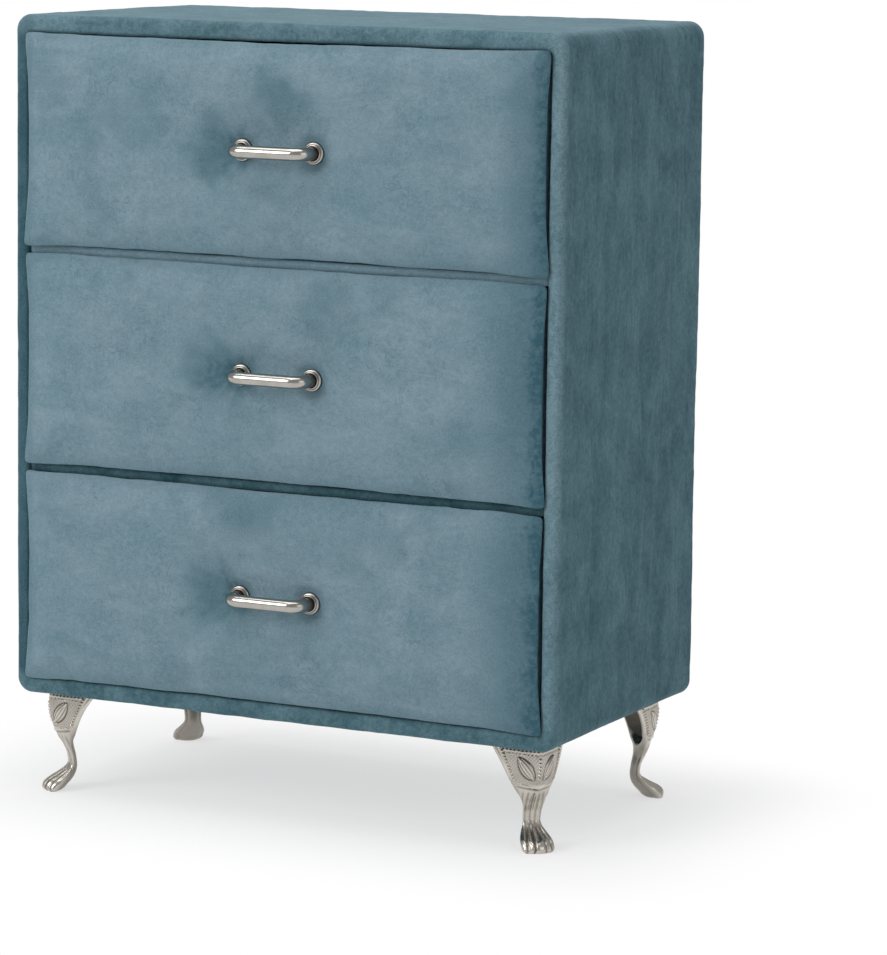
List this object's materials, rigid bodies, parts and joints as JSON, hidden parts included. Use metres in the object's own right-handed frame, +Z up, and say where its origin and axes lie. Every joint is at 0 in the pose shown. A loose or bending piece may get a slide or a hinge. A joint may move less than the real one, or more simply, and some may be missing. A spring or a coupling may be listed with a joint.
{
  "type": "jewelry chest",
  "caption": "Small velvet-covered jewelry chest with padded drawers that slide out, bar pulls of plated metal and cabriole legs.",
  "frame": {"origin": "on the floor, at the middle of the box around the closed chest", "axes": "+Z up, drawers open towards -Y, +X to the right of someone facing the drawers"},
  "size_m": [0.145, 0.0888, 0.19],
  "materials": {
    "velvet": "short-pile slate-teal velvet with nap marks",
    "board": "plain fibreboard",
    "foam": "soft open-cell foam",
    "lining": "short velvet mat",
    "plated_metal": "polished nickel plate",
    "screw_steel": "plain zinc-plated steel"
  },
  "bodies": {
    "case": {"top_panel": "board", "bottom_panel": "board", "left_side_panel": "board", "right_side_panel": "board", "back_panel": "board", "upper_divider": "board", "lower_divider": "board", "case_wrap": "velvet", "back_cover": "velvet", "upper_divider_wrap": "velvet", "lower_divider_wrap": "velvet", "front_left_leg": "plated_metal", "front_right_leg": "plated_metal", "rear_left_leg": "plated_metal", "rear_right_leg": "plated_metal", "leg_screws": "screw_steel"},
    "top_drawer": {"top_drawer_front_board": "board", "top_drawer_front_pad": "foam", "top_drawer_front_cover": "velvet", "top_drawer_left_side": "board", "top_drawer_right_side": "board", "top_drawer_back": "board", "top_drawer_base": "board", "top_drawer_lining": "lining", "top_drawer_handle": "plated_metal", "top_drawer_rosettes": "plated_metal", "top_drawer_handle_screws": "screw_steel"},
    "middle_drawer": {"middle_drawer_front_board": "board", "middle_drawer_front_pad": "foam", "middle_drawer_front_cover": "velvet", "middle_drawer_left_side": "board", "middle_drawer_right_side": "board", "middle_drawer_back": "board", "middle_drawer_base": "board", "middle_drawer_lining": "lining", "middle_drawer_handle": "plated_metal", "middle_drawer_rosettes": "plated_metal", "middle_drawer_handle_screws": "screw_steel"},
    "bottom_drawer": {"bottom_drawer_front_board": "board", "bottom_drawer_front_pad": "foam", "bottom_drawer_front_cover": "velvet", "bottom_drawer_left_side": "board", "bottom_drawer_right_side": "board", "bottom_drawer_back": "board", "bottom_drawer_base": "board", "bottom_drawer_lining": "lining", "bottom_drawer_handle": "plated_metal", "bottom_drawer_rosettes": "plated_metal", "bottom_drawer_handle_screws": "screw_steel"}
  },
  "joints": [
    {"name": "top_drawer_slide", "type": "slide", "parent": "case", "child": "top_drawer", "axis": [0, -1, 0], "range_m": [0, 0.055]},
    {"name": "middle_drawer_slide", "type": "slide", "parent": "case", "child": "middle_drawer", "axis": [0, -1, 0], "range_m": [0, 0.055]},
    {"name": "bottom_drawer_slide", "type": "slide", "parent": "case", "child": "bottom_drawer", "axis": [0, -1, 0], "range_m": [0, 0.055]}
  ]
}
